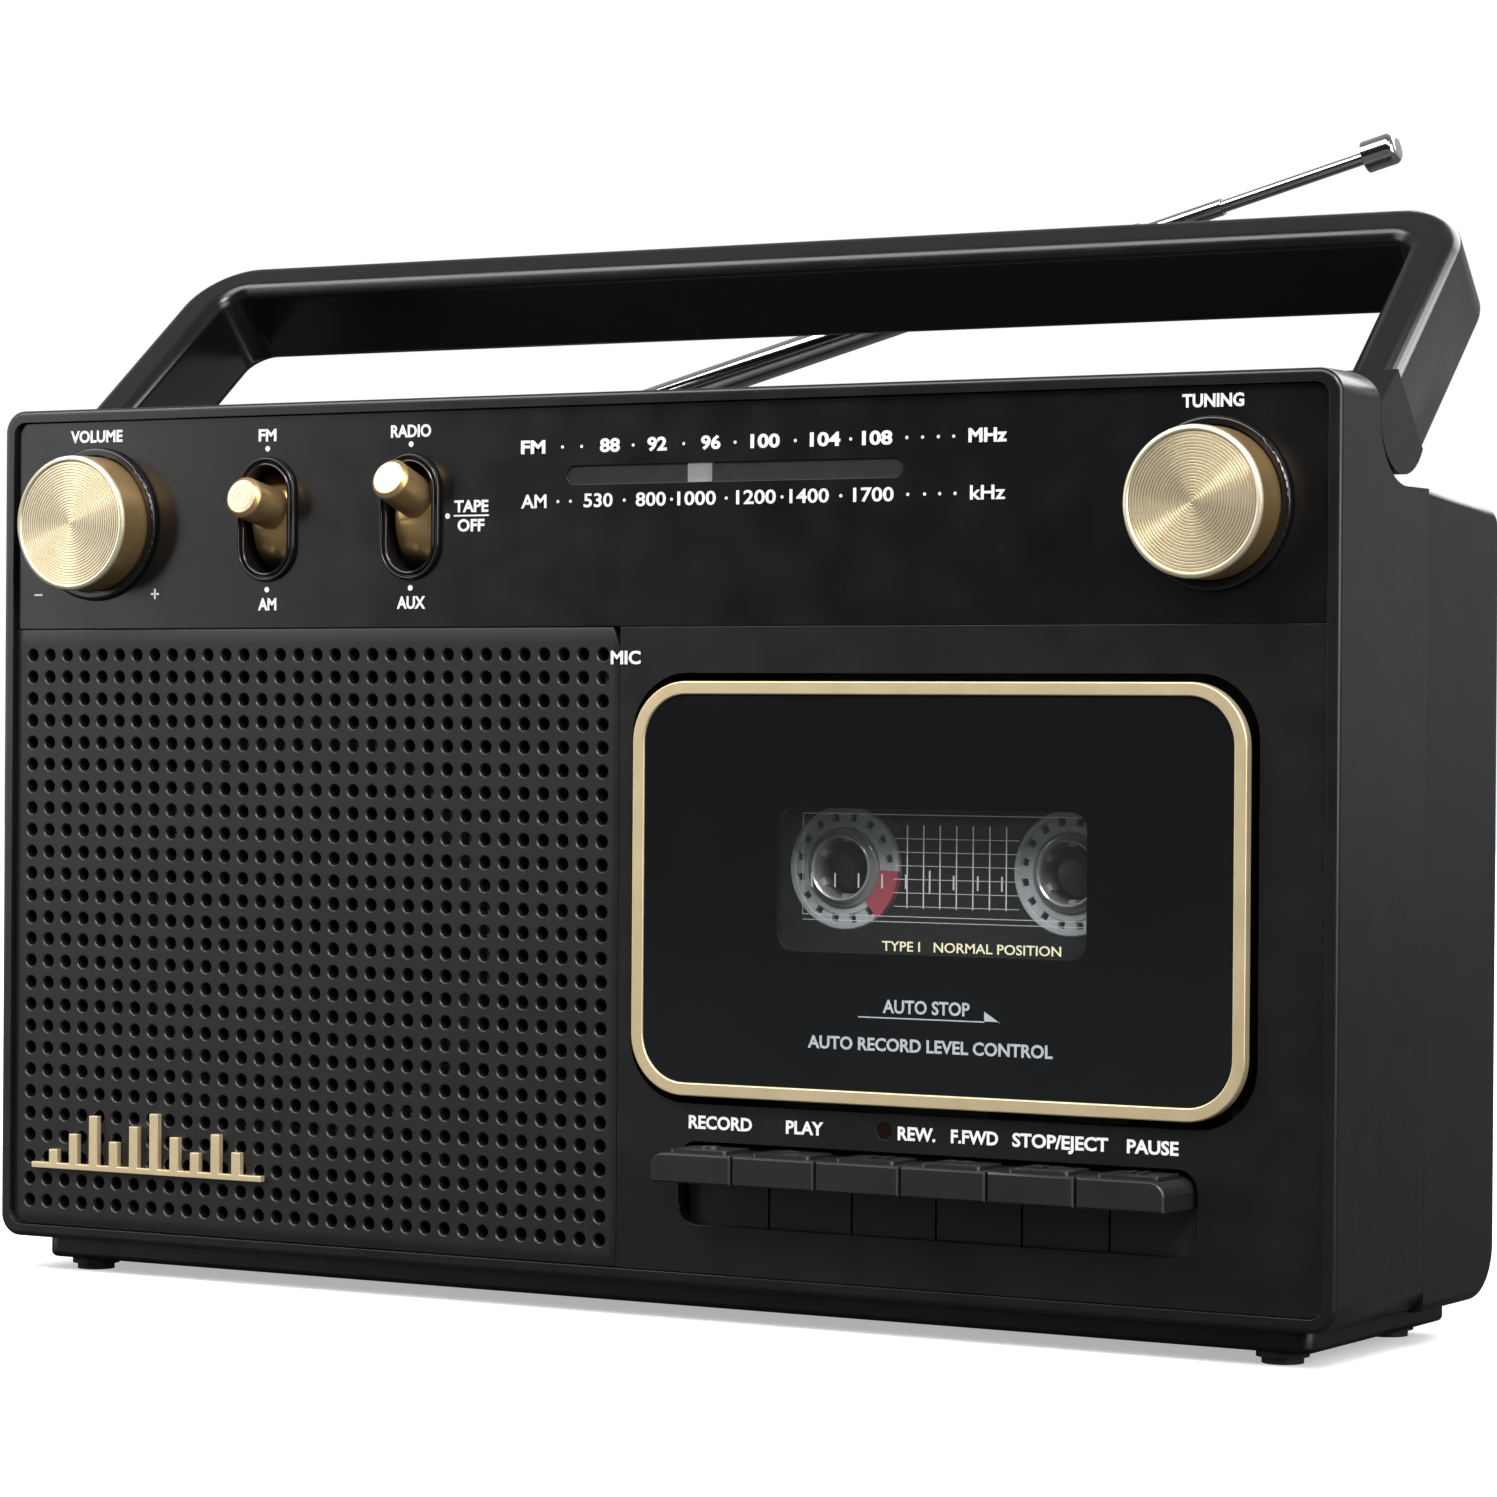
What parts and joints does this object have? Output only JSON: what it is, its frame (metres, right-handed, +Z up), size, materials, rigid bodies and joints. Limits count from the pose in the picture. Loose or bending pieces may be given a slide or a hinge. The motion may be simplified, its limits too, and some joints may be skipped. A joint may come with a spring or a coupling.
{
  "type": "portable radio cassette recorder",
  "caption": "Portable radio cassette recorder with a swing handle, telescopic aerial, round knobs, lever switches, perforated speaker panel, tape door and piano keys.",
  "frame": {"origin": "on the surface the feet stand on, below the middle of the overall box", "axes": "+X to the viewer's right when facing the front, +Y to the back, +Z up"},
  "size_m": [0.267, 0.0961, 0.2048],
  "materials": {
    "black_satin": "satin black moulded ABS with a fine sparked texture",
    "black_gloss": "polished black acrylic",
    "black_panel": "semi-gloss black polystyrene",
    "champagne": "spun champagne-gold anodised aluminium",
    "gold_trim": "pale gold hot-foiled trim",
    "chrome": "bright chrome plate on brass tube",
    "smoked": "smoked clear plastic",
    "clear_plastic": "clear polystyrene with printed grid",
    "hub_plastic": "translucent pale grey plastic",
    "rubber": "black rubber",
    "zinc_steel": "zinc-plated pressed steel",
    "dark_steel": "blackened steel",
    "board": "tan phenolic board with parts",
    "ferrite": "grey sintered ferrite with a wound coil",
    "paper": "black pressed paper cone",
    "red_lens": "red lamp lens",
    "white_mark": "white moulded pointer",
    "inner_black": "plain black moulded plastic"
  },
  "bodies": {
    "cabinet": {"front_cabinet": "black_satin", "rear_cabinet": "black_satin", "base_plinth": "black_satin", "rubber_feet": "rubber", "cabinet_screws": "dark_steel", "control_panel": "black_gloss", "speaker_grille": "black_panel", "deck_fascia": "black_panel", "knob_wells": "black_satin", "lever_bezels": "black_satin", "dial_lens": "smoked", "badge_ornament": "gold_trim", "volume_potentiometer": "zinc_steel", "circuit_board": "board", "ferrite_aerial": "ferrite", "speaker_frame": "zinc_steel", "speaker_cone": "paper", "microphone": "zinc_steel", "record_lamp": "red_lens", "battery_compartment": "inner_black", "battery_contacts": "zinc_steel", "mains_transformer": "dark_steel", "mains_inlet": "inner_black", "signal_jacks": "inner_black", "handle_pins": "dark_steel", "deck_chassis": "zinc_steel", "key_shaft": "dark_steel", "drive_belt": "rubber", "deck_motor": "zinc_steel"},
    "handle": {"handle": "black_satin"},
    "aerial_foot": {"aerial_swivel": "chrome"},
    "aerial_base": {"aerial_base_tube": "chrome"},
    "aerial_second": {"aerial_second_section": "chrome"},
    "aerial_third": {"aerial_third_section": "chrome"},
    "aerial_top": {"aerial_tip": "chrome"},
    "volume_control": {"volume_knob": "champagne", "volume_shaft": "dark_steel"},
    "tuning_control": {"tuning_knob": "champagne", "tuning_shaft": "inner_black"},
    "pointer": {"dial_pointer": "white_mark"},
    "band_switch": {"band_lever": "champagne"},
    "function_switch": {"function_lever": "champagne"},
    "record_button": {"record_key": "black_panel"},
    "play_button": {"play_key": "black_panel"},
    "rewind_button": {"rewind_key": "black_panel"},
    "fast_forward_button": {"fast_forward_key": "black_panel"},
    "stop_eject_button": {"stop_eject_key": "black_panel"},
    "pause_button": {"pause_key": "black_panel"},
    "cassette_door": {"door_trim": "gold_trim", "cassette_holder": "black_gloss", "door_lens": "clear_plastic", "cassette_shell": "clear_plastic"},
    "left_hub": {"cassette_hub_left": "hub_plastic"},
    "right_hub": {"cassette_hub_right": "hub_plastic"},
    "left_spindle": {"reel_spindle_left": "inner_black"},
    "right_spindle": {"reel_spindle_right": "inner_black"},
    "flywheel": {"capstan_flywheel": "zinc_steel"},
    "pulley": {"motor_pulley": "zinc_steel"},
    "carriage": {"head_carriage": "zinc_steel"},
    "battery_door": {"battery_lid": "black_satin"}
  },
  "joints": [
    {"name": "handle_fold", "type": "hinge", "parent": "cabinet", "child": "handle", "pos_m": [0, -0.01336, 0.1513], "axis": [1, 0, 0], "range_deg": [0, 50]},
    {"name": "aerial_turn", "type": "hinge", "parent": "cabinet", "child": "aerial_foot", "pos_m": [-0.1195, 0.03315, 0.1395], "axis": [0, -1, 0], "range_deg": [-15, 150]},
    {"name": "aerial_tilt", "type": "hinge", "parent": "aerial_foot", "child": "aerial_base", "pos_m": [-0.1195, 0.03315, 0.1395], "axis": [-0.2681, 0, 0.9634], "range_deg": [0, 60]},
    {"name": "aerial_second_slide", "type": "slide", "parent": "aerial_base", "child": "aerial_second", "axis": [0.9621, 0.0518, 0.2677], "range_m": [-0.017, 0.11]},
    {"name": "aerial_third_slide", "type": "slide", "parent": "aerial_second", "child": "aerial_third", "axis": [0.9621, 0.0518, 0.2677], "range_m": [-0.016, 0.11]},
    {"name": "aerial_tip_slide", "type": "slide", "parent": "aerial_third", "child": "aerial_top", "axis": [0.9621, 0.0518, 0.2677], "range_m": [-0.0275, 0.095]},
    {"name": "volume_turn", "type": "hinge", "parent": "cabinet", "child": "volume_control", "pos_m": [-0.1128, -0.03886, 0.1368], "axis": [0, 1, 0], "range_deg": [-135, 135]},
    {"name": "tuning_turn", "type": "hinge", "parent": "cabinet", "child": "tuning_control", "pos_m": [0.111, -0.03886, 0.1368], "axis": [0, 1, 0], "range_deg": [-106, 193]},
    {"name": "pointer_slide", "type": "slide", "parent": "cabinet", "child": "pointer", "axis": [1, 0, 0], "range_m": [-0.0216, 0.0392]},
    {"name": "band_switch_tilt", "type": "hinge", "parent": "cabinet", "child": "band_switch", "pos_m": [-0.0744, -0.02736, 0.1371], "axis": [1, 0, 0], "range_deg": [0, 23.4]},
    {"name": "function_switch_tilt", "type": "hinge", "parent": "cabinet", "child": "function_switch", "pos_m": [-0.0434, -0.02736, 0.1371], "axis": [1, 0, 0], "range_deg": [0, 41]},
    {"name": "record_press", "type": "hinge", "parent": "cabinet", "child": "record_button", "pos_m": [0.061, -0.01486, 0.021], "axis": [1, 0, 0], "range_deg": [0, 9], "stiffness_Nm_per_rad": 0.03, "springref_deg": -14.32},
    {"name": "play_press", "type": "hinge", "parent": "cabinet", "child": "play_button", "pos_m": [0.061, -0.01486, 0.021], "axis": [1, 0, 0], "range_deg": [0, 9], "stiffness_Nm_per_rad": 0.03, "springref_deg": -14.32},
    {"name": "rewind_press", "type": "hinge", "parent": "cabinet", "child": "rewind_button", "pos_m": [0.061, -0.01486, 0.021], "axis": [1, 0, 0], "range_deg": [0, 9], "stiffness_Nm_per_rad": 0.03, "springref_deg": -14.32},
    {"name": "fast_forward_press", "type": "hinge", "parent": "cabinet", "child": "fast_forward_button", "pos_m": [0.061, -0.01486, 0.021], "axis": [1, 0, 0], "range_deg": [0, 9], "stiffness_Nm_per_rad": 0.03, "springref_deg": -14.32},
    {"name": "stop_eject_press", "type": "hinge", "parent": "cabinet", "child": "stop_eject_button", "pos_m": [0.061, -0.01486, 0.021], "axis": [1, 0, 0], "range_deg": [0, 9], "stiffness_Nm_per_rad": 0.03, "springref_deg": -14.32},
    {"name": "pause_press", "type": "hinge", "parent": "cabinet", "child": "pause_button", "pos_m": [0.061, -0.01486, 0.021], "axis": [1, 0, 0], "range_deg": [0, 9], "stiffness_Nm_per_rad": 0.03, "springref_deg": -14.32},
    {"name": "carriage_lift", "type": "slide", "parent": "cabinet", "child": "carriage", "axis": [0, 0, 1], "range_m": [0, 0.00501]},
    {"name": "door_open", "type": "hinge", "parent": "cabinet", "child": "cassette_door", "pos_m": [0.0611, -0.02686, 0.0303], "axis": [1, 0, 0], "range_deg": [0, 25]},
    {"name": "left_spindle_turn", "type": "hinge", "parent": "cabinet", "child": "left_spindle", "pos_m": [0.03985, -0.02686, 0.0773], "axis": [0, 1, 0], "continuous": true},
    {"name": "right_spindle_turn", "type": "hinge", "parent": "cabinet", "child": "right_spindle", "pos_m": [0.08235, -0.02686, 0.0773], "axis": [0, 1, 0], "continuous": true},
    {"name": "left_hub_turn", "type": "hinge", "parent": "cassette_door", "child": "left_hub", "pos_m": [0.03985, -0.02686, 0.0773], "axis": [0, 1, 0], "continuous": true},
    {"name": "right_hub_turn", "type": "hinge", "parent": "cassette_door", "child": "right_hub", "pos_m": [0.08235, -0.02686, 0.0773], "axis": [0, 1, 0], "continuous": true},
    {"name": "flywheel_turn", "type": "hinge", "parent": "cabinet", "child": "flywheel", "pos_m": [0.0891, -0.01486, 0.0503], "axis": [0, 1, 0], "continuous": true},
    {"name": "pulley_turn", "type": "hinge", "parent": "cabinet", "child": "pulley", "pos_m": [0.034, -0.01486, 0.05], "axis": [0, 1, 0], "continuous": true},
    {"name": "battery_door_open", "type": "hinge", "parent": "cabinet", "child": "battery_door", "pos_m": [-0.056, 0.0261, 0.02225], "axis": [-1, 0, 0], "range_deg": [0, 60]}
  ],
  "couplings": [
    {"joint": "pointer_slide", "follows": "tuning_turn", "m_per_rad": 0.0116},
    {"joint": "carriage_lift", "follows": "play_press", "m_per_rad": 0.03183},
    {"joint": "left_hub_turn", "follows": "left_spindle_turn", "ratio": 1},
    {"joint": "right_hub_turn", "follows": "right_spindle_turn", "ratio": 1},
    {"joint": "pulley_turn", "follows": "flywheel_turn", "ratio": 4.9375}
  ]
}
